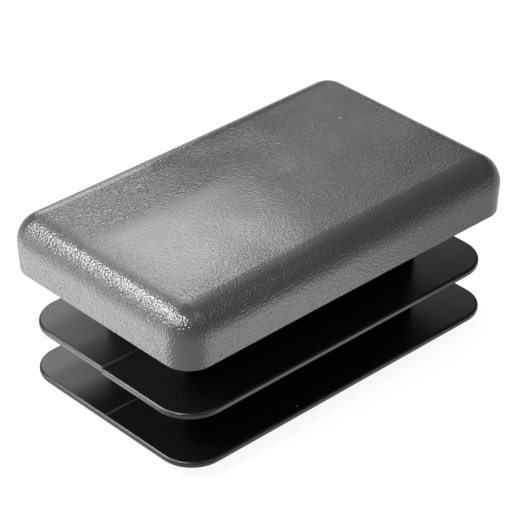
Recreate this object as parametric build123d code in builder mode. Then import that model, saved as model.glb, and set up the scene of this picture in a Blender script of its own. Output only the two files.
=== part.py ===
"""Ribbed end cap for a 50 x 30 mm rectangular tube, moulded in one piece in black polyethylene.

The origin is the centre of the head's underside, which seats on the end of the tube. X runs along
the long side, Y along the short side and Z up through the head. Sizes are in millimetres and
angles in degrees.
"""

from build123d import *
import os

# Head, which stays outside the tube and covers its cut end
head_length = 50.0  # along X at the lower edge, flush with the tube
head_width = 30.0  # along Y at the lower edge, flush with the tube
head_height = 6.95
head_corner = 3.25  # plan radius of the four corners at the lower edge
head_flare = 3.0  # lean of the sides, which grow wider upwards
head_rounding = 3.35  # radius between the sides and the top
long_side_bow = 0.12  # hollow that shrinkage leaves halfway along each long side
lower_edge_break = 0.15  # small bevel round the lower edge
roof = 2.4  # wall left between the hollow core and the top

# Two thin fins that bend and grip in the bore of the tube
upper_groove = 6.8  # clear height between the head and the upper fin
upper_fin_length = 48.55
upper_fin_width = 28.0
upper_fin_corner = 4.65
lower_groove = 5.55  # clear height between the two fins
lower_fin_length = 48.35
lower_fin_width = 28.35
lower_fin_corner = 4.2
fin_thickness = 0.8
fin_edge = 0.3  # rounding of each rim, above and below
parting_step = 0.22  # the mould's halves don't quite meet: the upper fin's +Y half is higher

# Hollow core that carries the fins
core_length = 36.0
core_width = 16.0
core_corner = 2.0
core_below_fins = 2.2  # how far the core reaches under the lower fin
core_lead_in = 0.8  # chamfer that guides the core into the tube
core_root = 0.6  # fillet between the core and the head's underside
core_wall = 1.8

# Cells of the core, open at the bottom
cell_count = 3
cell_rib = 1.5  # thickness of each rib between two cells
cell_draft = 0.6

upper_fin_top = -upper_groove
lower_fin_top = upper_fin_top - fin_thickness - lower_groove
core_bottom = lower_fin_top - fin_thickness - core_below_fins
cell_length = (core_length - 2 * core_wall - (cell_count - 1) * cell_rib) / cell_count
cell_width = core_width - 2 * core_wall


def fin_half(length, width, corner, top, side):
    """Half of one fin, kept on one side of the parting plane that runs along the cap."""
    with BuildPart() as half:
        with BuildSketch(Plane.XY.offset(top)):
            RectangleRounded(length, width, corner)
        extrude(amount=-fin_thickness)
        fillet(half.faces().filter_by(Axis.Z).edges(), radius=fin_edge)
        split(bisect_by=Plane.XZ, keep=side)
    return half.part


# The parting plane faces -Y, so its top side is the cap's -Y half
upper_fin = (upper_fin_length, upper_fin_width, upper_fin_corner)
lower_fin = (lower_fin_length, lower_fin_width, lower_fin_corner)
fin_halves = [
    fin_half(*upper_fin, upper_fin_top, Keep.TOP),
    fin_half(*upper_fin, upper_fin_top + parting_step, Keep.BOTTOM),
    fin_half(*lower_fin, lower_fin_top, Keep.TOP),
    fin_half(*lower_fin, lower_fin_top, Keep.BOTTOM),
]

with BuildPart() as end_cap:
    # Head: a flared block with its long sides bowed in and a large rounding round the top
    with BuildSketch() as head_plan:
        with BuildLine():
            near_side = SagittaArc(
                (-head_length / 2, -head_width / 2), (head_length / 2, -head_width / 2), long_side_bow
            )
            short_side = Line(near_side @ 1, (head_length / 2, head_width / 2))
            far_side = SagittaArc(short_side @ 1, (-head_length / 2, head_width / 2), long_side_bow)
            Line(far_side @ 1, near_side @ 0)
        make_face()
        fillet(head_plan.vertices(), radius=head_corner)
    extrude(amount=head_height, taper=-head_flare)
    fillet(end_cap.faces().sort_by(Axis.Z)[-1].edges(), radius=head_rounding)
    chamfer(end_cap.faces().sort_by(Axis.Z)[0].edges(), length=lower_edge_break)

    # Core: a rounded block under the head, chamfered at its lower end
    with BuildSketch():
        RectangleRounded(core_length, core_width, core_corner)
    extrude(amount=core_bottom)
    chamfer(end_cap.faces().sort_by(Axis.Z)[0].edges(), length=core_lead_in)
    underside = end_cap.faces().filter_by(Axis.Z).sort_by(Axis.Z)[1]
    fillet(underside.inner_wires().edges(), radius=core_root)

    # Fins: thin plates through the core
    add(fin_halves)

    # Cells: pockets with draft that leave the core's wall, its ribs and the head's roof
    with BuildSketch(Plane.XY.offset(core_bottom)):
        with GridLocations(cell_length + cell_rib, 0, cell_count, 1):
            Rectangle(cell_length, cell_width)
    extrude(amount=head_height - roof - core_bottom, taper=cell_draft, mode=Mode.SUBTRACT)

end_cap.part.label = "end_cap"
os.makedirs("parts", exist_ok=True)
export_step(end_cap.part, "parts/end_cap.step")
print("end_cap", end_cap.part.bounding_box().size, "volume", end_cap.part.volume)
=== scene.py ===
"""Looks of the ribbed tube end cap: black moulded polyethylene on a pale floor in studio light."""

import math

import bpy
from mathutils import Matrix, Vector


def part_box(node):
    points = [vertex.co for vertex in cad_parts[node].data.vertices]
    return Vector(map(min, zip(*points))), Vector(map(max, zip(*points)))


MM = 0.001

# Camera, in the row frame
VIEW_AZIMUTH = math.radians(-43.14)
VIEW_HEIGHT = math.radians(32.69)
VIEW_ROLL = math.radians(0.05)
VIEW_DISTANCE = 278.87 * MM
VIEW_SIDESTEP = -0.81 * MM
VIEW_RISE = -2.23 * MM
LENS_MM = 172.2
SENSOR_MM = 36.0
CLIP_START = 10 * MM

# Where the grained skin of the head begins, and where it passes from the rounding to the top
HEAD_FOOT = -0.05 * MM
TOP_START = 5.6 * MM
TOP_FULL = 6.9 * MM

# Spark-eroded grain of the head. Grain of this kind is some 0.1 mm wide, too fine to show in the
# render, so it is drawn about three times as coarse.
GRAIN_PITCH = 0.27 * MM
GRAIN_DEPTH = 0.066 * MM
GRAIN_SMOOTHNESS = 0.25  # how far neighbouring grains run into each other
GRAIN_ROUNDNESS = 2.0  # power that makes a cone a dome
GRAIN_ON_SIDES = 1.0
GRAIN_ON_TOP = 0.43  # the top's grain is flatter

# Unevenness that shrinkage leaves in the head
SINK_PITCH = 11 * MM
SINK_DEPTH = 0.5 * MM

# Fins: slight waves, and the line where the halves of the mould meet, along Y = 0
WAVE_PITCH = 3.0 * MM
WAVE_DEPTH = 0.02 * MM
LINE_REACH = 0.12 * MM
LINE_HEIGHT = 0.03 * MM

# Dust: one cell of the pattern holds one grain or none. Real dust is finer, and is drawn as coarse as
# it needs to show.
DUST_PITCH = 1.0 * MM
DUST_SMALLEST = 0.015  # radius of a grain, as a share of the pitch
DUST_LARGEST = 0.075
DUST_FREE_FINS = 0.4  # share of the cells that stay clean
DUST_FREE_HEAD = 0.86

# Painted highlight: a paler patch painted on the top near the -X end, where the window's reflection
# lies
PAINTED_HIGHLIGHT_EDGES = (  # axis, where the painted highlight starts and where it is full
    ("X", -25 * MM, -18 * MM),
    ("X", 2 * MM, -10 * MM),
    ("Y", 5.6 * MM, 1.8 * MM),
    ("Y", -13 * MM, -6 * MM),
)

# Colours, in sRGB
HEAD_BLACK = "#2c2c2d"  # paler than the fins, for the light that grain finer than the bumps scatters
# Grey of the highlight painted on the top
PAINTED_HIGHLIGHT_GREY = "#4a4a4b"
FIN_BLACK = "#020202"
# Paler grey along the mould's parting line on the fins
PARTING_LINE_GREY = "#343434"
DUST_GREY = "#8c8a86"
CARD_WHITE = "#f4f4f4"
PURE_WHITE = "#ffffff"

# Finish
POLYETHYLENE_IOR = 1.54
HEAD_ROUGHNESS = 0.25
FIN_ROUGHNESS = 0.34

# Studio, in the row frame
FLOOR_REACH = 1.5
PLAIN_WHITE_SHARE = 0.9  # of plain white in what the eye and reflections see of the card
FILL_STRENGTH = 1.0  # of the world, on matt surfaces and behind the floor's edge
DIM_STRENGTH = 0.1  # of the world in mirror reflections, as of a dim room
RING_STEP = 1 * MM
LAMPS = (  # name, spot in mm, direction it faces, width and height in mm, radiance, rings
    ("key_upper", (-68, 63, 83), (1, -1, -1), 26, 24, 40.0, 1),
    ("key_middle", (-78, 56, 62), (1, -1, -0.8), 30, 24, 14.0, 2),
    ("key_lower", (-94, 66, 36), (1, -1, -0.4), 40, 26, 8.0, 1),
    ("key_front", (-88, 30, 66), (1, -0.4, -0.8), 36, 24, 24.0, 1),
    ("left_low", (-100, 50, 6), (1, -0.6, 0), 100, 30, 2.5, 1),
    ("ceiling_right", (50, 24, 130), (-0.8, -0.4, -1.3), 60, 50, 2.4, 2),
    ("window", (40, 70, 89), (0, -1, 0), 54, 46, 6.0, 3),
    ("window_core", (45, 66, 74), (0, -1, 0), 32, 18, 8.0, 2),
    ("window_left", (11, 73, 92), (0, -1, 0), 40, 36, 5.8, 2),
    ("window_bridge", (-30, 76, 91), (0, -1, 0), 44, 34, 5.4, 2),
    ("window_right", (80, 79, 105), (0, -1, 0), 60, 36, 2.4, 1),
    ("window_low", (24, 82, 36), (0, -1, 0), 44, 20, 6.8, 1),
    ("right_low", (105, 82, 50), (0, -1, 0), 50, 30, 1.6, 1),
    ("front_card", (5, -76, 100), (-0.1, 0.7, -0.8), 46, 60, 4.2, 2),
    ("corner_spark", (-86, -19, 79), (1, 0.1, -1), 26, 26, 50.0, 1),
)
TABLE_LIFT = 0.3 * MM
TABLE_LIGHTS = (  # name, X and Y of its middle, width and height in mm, radiance
    ("lit_table_left", -53, 34, 48, 64, 3.0),
    ("lit_table_front", 4, -42, 36, 40, 1.5),
)

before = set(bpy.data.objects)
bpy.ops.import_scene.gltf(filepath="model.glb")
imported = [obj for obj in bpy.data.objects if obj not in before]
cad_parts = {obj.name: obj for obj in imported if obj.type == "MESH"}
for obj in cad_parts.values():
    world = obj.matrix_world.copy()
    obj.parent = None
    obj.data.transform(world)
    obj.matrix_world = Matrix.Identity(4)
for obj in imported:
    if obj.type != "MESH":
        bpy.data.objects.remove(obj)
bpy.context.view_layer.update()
end_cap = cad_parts["end_cap"]
cap_low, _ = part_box("end_cap")


def linear(code):
    """sRGB hex colour as the linear colour that the shader takes."""
    levels = [int(code[i:i + 2], 16) / 255 for i in (1, 3, 5)]
    return [v / 12.92 if v <= 0.04045 else ((v + 0.055) / 1.055) ** 2.4 for v in levels] + [1.0]


def add_node(tree, kind, settings=None, **links):
    """A node with its settings. Each link or value goes to the input of that name, with _ for a
    blank, or of that number after a _ where inputs share a name: 0 and 1 on Math, and on Mix 2 and 3
    for numbers, 4 and 5 for vectors, 6 and 7 for colours."""
    node = tree.nodes.new(kind)
    for name, value in (settings or {}).items():
        setattr(node, name, value)
    for name, value in links.items():
        key = int(name[1:]) if name[1:].isdigit() else name.replace("_", " ")
        if isinstance(value, bpy.types.NodeSocket):
            tree.links.new(value, node.inputs[key])
        else:
            node.inputs[key].default_value = value
    return node


def empty_material(name):
    material = bpy.data.materials.new(name)
    material.use_nodes = True
    material.node_tree.nodes.clear()
    return material, material.node_tree


def painted_highlight_patch(tree, axes):
    """Share of the painted highlight at each place of the top: four soft edges, multiplied."""
    share = None
    for axis, start, full in PAINTED_HIGHLIGHT_EDGES:
        edge = add_node(
            tree, "ShaderNodeMapRange", {"interpolation_type": "SMOOTHSTEP"},
            Value=axes[axis], From_Min=min(start, full), From_Max=max(start, full),
            To_Min=float(start > full), To_Max=float(full > start),
        ).outputs[0]
        if share is None:
            share = edge
        else:
            share = add_node(
                tree, "ShaderNodeMath", {"operation": "MULTIPLY"}, _0=share, _1=edge
            ).outputs[0]
    return share


def head_relief(tree, place, axes):
    """Normal of the head's skin: domed grain, flatter on the top, over the waves of shrinkage."""
    crater = add_node(
        tree, "ShaderNodeTexVoronoi", {"feature": "SMOOTH_F1"},
        Vector=place, Scale=1 / GRAIN_PITCH, Smoothness=GRAIN_SMOOTHNESS, Randomness=1.0,
    ).outputs["Distance"]
    dome = add_node(
        tree, "ShaderNodeMath", {"operation": "POWER"}, _0=crater, _1=GRAIN_ROUNDNESS
    ).outputs[0]
    sink = add_node(
        tree, "ShaderNodeTexNoise", Vector=place, Scale=1 / SINK_PITCH, Detail=1.0
    ).outputs["Fac"]
    sink_bump = add_node(
        tree, "ShaderNodeBump", {"invert": True}, Height=sink, Strength=1.0, Distance=SINK_DEPTH
    ).outputs["Normal"]
    grain_left = add_node(
        tree, "ShaderNodeMapRange", {"interpolation_type": "SMOOTHSTEP"},
        Value=axes["Z"], From_Min=TOP_START, From_Max=TOP_FULL,
        To_Min=GRAIN_ON_SIDES, To_Max=GRAIN_ON_TOP,
    ).outputs[0]
    return add_node(
        tree, "ShaderNodeBump", {"invert": True},
        Height=dome, Strength=grain_left, Distance=GRAIN_DEPTH, Normal=sink_bump,
    ).outputs["Normal"]


def fin_relief(tree, place, axes):
    """Normal of the fins' and core's skin, and how near a place is to the mould's parting line."""
    wave = add_node(
        tree, "ShaderNodeTexNoise", Vector=place, Scale=1 / WAVE_PITCH, Detail=1.0
    ).outputs["Fac"]
    wave_bump = add_node(
        tree, "ShaderNodeBump", Height=wave, Strength=1.0, Distance=WAVE_DEPTH
    ).outputs["Normal"]
    off_line = add_node(
        tree, "ShaderNodeMath", {"operation": "ABSOLUTE"}, _0=axes["Y"]
    ).outputs[0]
    ridge = add_node(
        tree, "ShaderNodeMapRange",
        Value=off_line, From_Min=0.0, From_Max=LINE_REACH, To_Min=1.0, To_Max=0.0,
    ).outputs[0]
    line_bump = add_node(
        tree, "ShaderNodeBump",
        Height=ridge, Strength=1.0, Distance=LINE_HEIGHT, Normal=wave_bump,
    ).outputs["Normal"]
    return line_bump, ridge


def dust_grains(tree, place, on_head):
    """1 where a grain of dust lies and 0 elsewhere: more of them on the fins than on the head."""
    cells = add_node(
        tree, "ShaderNodeTexVoronoi", Vector=place, Scale=1 / DUST_PITCH, Randomness=1.0
    ).outputs
    chance = add_node(tree, "ShaderNodeSeparateColor", _0=cells["Color"]).outputs
    radius = add_node(
        tree, "ShaderNodeMapRange",
        Value=chance["Green"], From_Min=0.0, From_Max=1.0,
        To_Min=DUST_SMALLEST, To_Max=DUST_LARGEST,
    ).outputs[0]
    inside = add_node(
        tree, "ShaderNodeMath", {"operation": "LESS_THAN"}, _0=cells["Distance"], _1=radius
    ).outputs[0]
    clean = add_node(
        tree, "ShaderNodeMix", Factor=on_head, _2=DUST_FREE_FINS, _3=DUST_FREE_HEAD
    ).outputs[0]
    kept = add_node(
        tree, "ShaderNodeMath", {"operation": "GREATER_THAN"}, _0=chance["Red"], _1=clean
    ).outputs[0]
    return add_node(
        tree, "ShaderNodeMath", {"operation": "MULTIPLY"}, _0=inside, _1=kept
    ).outputs[0]


def moulded_polyethylene():
    """Black polyethylene as it leaves the mould. The head's spark-eroded grain breaks each reflection
    into sparkle on a dull grey, with a paler patch on the top painted as a highlight. The fins and
    the core come from polished steel and stay deep, smooth and black, with a paler grey parting line."""
    material, tree = empty_material("moulded_polyethylene")
    place = add_node(tree, "ShaderNodeTexCoord").outputs["Object"]
    axes = add_node(tree, "ShaderNodeSeparateXYZ", _0=place).outputs
    on_head = add_node(
        tree, "ShaderNodeMath", {"operation": "GREATER_THAN"}, _0=axes["Z"], _1=HEAD_FOOT
    ).outputs[0]
    head_normal = head_relief(tree, place, axes)
    fin_normal, ridge = fin_relief(tree, place, axes)
    normal = add_node(
        tree, "ShaderNodeMix", {"data_type": "VECTOR"},
        Factor=on_head, _4=fin_normal, _5=head_normal,
    ).outputs[1]

    # The head's grey, with a highlight painted paler on the top
    head_colour = add_node(
        tree, "ShaderNodeMix", {"data_type": "RGBA"},
        Factor=painted_highlight_patch(tree, axes), _6=linear(HEAD_BLACK), _7=linear(PAINTED_HIGHLIGHT_GREY),
    ).outputs[2]
    fin_colour = add_node(
        tree, "ShaderNodeMix", {"data_type": "RGBA"},
        Factor=ridge, _6=linear(FIN_BLACK), _7=linear(PARTING_LINE_GREY),
    ).outputs[2]
    plain = add_node(
        tree, "ShaderNodeMix", {"data_type": "RGBA"},
        Factor=on_head, _6=fin_colour, _7=head_colour,
    ).outputs[2]
    colour = add_node(
        tree, "ShaderNodeMix", {"data_type": "RGBA"},
        Factor=dust_grains(tree, place, on_head), _6=plain, _7=linear(DUST_GREY),
    ).outputs[2]
    roughness = add_node(
        tree, "ShaderNodeMix", Factor=on_head, _2=FIN_ROUGHNESS, _3=HEAD_ROUGHNESS
    ).outputs[0]
    shader = add_node(
        tree, "ShaderNodeBsdfPrincipled",
        Base_Color=colour, Roughness=roughness, Normal=normal, IOR=POLYETHYLENE_IOR,
    )
    add_node(tree, "ShaderNodeOutputMaterial", Surface=shader.outputs[0])
    return material


def white_card():
    """Matt white card. The eye, reflections and glass see it nearly plain white, and the rest of what
    they see is its own lit surface, which keeps a soft shadow."""
    material, tree = empty_material("white_card")
    paths = add_node(tree, "ShaderNodeLightPath").outputs
    seen = paths["Is Camera Ray"]
    for kind in ("Is Glossy Ray", "Is Transmission Ray"):
        seen = add_node(
            tree, "ShaderNodeMath", {"operation": "MAXIMUM"}, _0=seen, _1=paths[kind]
        ).outputs[0]
    share = add_node(
        tree, "ShaderNodeMath", {"operation": "MULTIPLY"}, _0=seen, _1=PLAIN_WHITE_SHARE
    ).outputs[0]
    card = add_node(tree, "ShaderNodeBsdfDiffuse", Color=linear(CARD_WHITE)).outputs[0]
    white = add_node(
        tree, "ShaderNodeEmission", Color=linear(PURE_WHITE), Strength=1.0
    ).outputs[0]
    mixed = add_node(tree, "ShaderNodeMixShader", _0=share, _1=card, _2=white).outputs[0]
    add_node(tree, "ShaderNodeOutputMaterial", Surface=mixed)
    return material


def light_world():
    """Even white fill from all round, which mirror reflections see as a dim room."""
    world = bpy.data.worlds.new("studio")
    world.use_nodes = True
    tree = world.node_tree
    tree.nodes.clear()
    paths = add_node(tree, "ShaderNodeLightPath").outputs
    strength = add_node(
        tree, "ShaderNodeMapRange",
        Value=paths["Is Glossy Ray"], From_Min=0.0, From_Max=1.0,
        To_Min=FILL_STRENGTH, To_Max=DIM_STRENGTH,
    ).outputs[0]
    surround = add_node(
        tree, "ShaderNodeBackground", Color=linear(PURE_WHITE), Strength=strength
    )
    add_node(tree, "ShaderNodeOutputWorld", Surface=surround.outputs[0])
    bpy.context.scene.world = world


def softbox(name, spot, aim, width, height, radiance, rings=1):
    """Rectangular lamp at a spot, turned to face along aim, with the brightness of its middle. Rings
    of equal strength, each smaller than the last, let that brightness fall off towards the edge. They
    stand a step apart, because a ray that meets one lamp misses another at the same distance."""
    turn = (-Vector(aim)).to_track_quat("Z", "Y").to_euler()
    for ring in range(rings):
        share = 1 - ring / rings
        lamp = bpy.data.lights.new(name, "AREA")
        lamp.shape = "RECTANGLE"
        lamp.size = width * share
        lamp.size_y = height * share
        lamp.energy = radiance / rings * math.pi * lamp.size * lamp.size_y
        holder = bpy.data.objects.new(name, lamp)
        holder.location = Vector(spot) + Vector(aim).normalized() * ring * RING_STEP
        holder.rotation_euler = turn
        holder.visible_camera = False
        bpy.context.scene.collection.objects.link(holder)


def light_studio():
    """Softboxes round the cap, and two low lights that stand for the lit table beside it."""
    for name, spot, aim, width, height, radiance, rings in LAMPS:
        softbox(name, [v * MM for v in spot], aim, width * MM, height * MM, radiance, rings)
    for name, x, y, width, height, radiance in TABLE_LIGHTS:
        spot = (x * MM, y * MM, cap_low.z + TABLE_LIFT)
        softbox(name, spot, (0, 0, 1), width * MM, height * MM, radiance)


def place_camera():
    back = Vector((
        math.sin(VIEW_AZIMUTH) * math.cos(VIEW_HEIGHT),
        -math.cos(VIEW_AZIMUTH) * math.cos(VIEW_HEIGHT),
        math.sin(VIEW_HEIGHT),
    ))
    level_right = Vector((math.cos(VIEW_AZIMUTH), math.sin(VIEW_AZIMUTH), 0.0))
    level_up = back.cross(level_right)
    right = level_right * math.cos(VIEW_ROLL) + level_up * math.sin(VIEW_ROLL)
    up = level_up * math.cos(VIEW_ROLL) - level_right * math.sin(VIEW_ROLL)
    lens = bpy.data.cameras.new("camera")
    lens.lens = LENS_MM
    lens.sensor_width = SENSOR_MM
    lens.sensor_fit = "HORIZONTAL"
    lens.clip_start = CLIP_START
    camera = bpy.data.objects.new("camera", lens)
    turn = Matrix((right, up, back)).transposed().to_4x4()
    spot = right * VIEW_SIDESTEP + up * VIEW_RISE + back * VIEW_DISTANCE
    camera.matrix_world = Matrix.Translation(spot) @ turn
    bpy.context.scene.collection.objects.link(camera)
    bpy.context.scene.camera = camera


def lay_floor():
    mesh = bpy.data.meshes.new("floor")
    corners = [
        (-FLOOR_REACH, -FLOOR_REACH), (FLOOR_REACH, -FLOOR_REACH),
        (FLOOR_REACH, FLOOR_REACH), (-FLOOR_REACH, FLOOR_REACH),
    ]
    mesh.from_pydata([(x, y, cap_low.z) for x, y in corners], [], [(0, 1, 2, 3)])
    floor = bpy.data.objects.new("floor", mesh)
    bpy.context.scene.collection.objects.link(floor)
    mesh.materials.append(white_card())


end_cap.material_slots[0].material = moulded_polyethylene()
lay_floor()
light_world()
light_studio()
place_camera()
bpy.context.scene.view_settings.view_transform = "Standard"
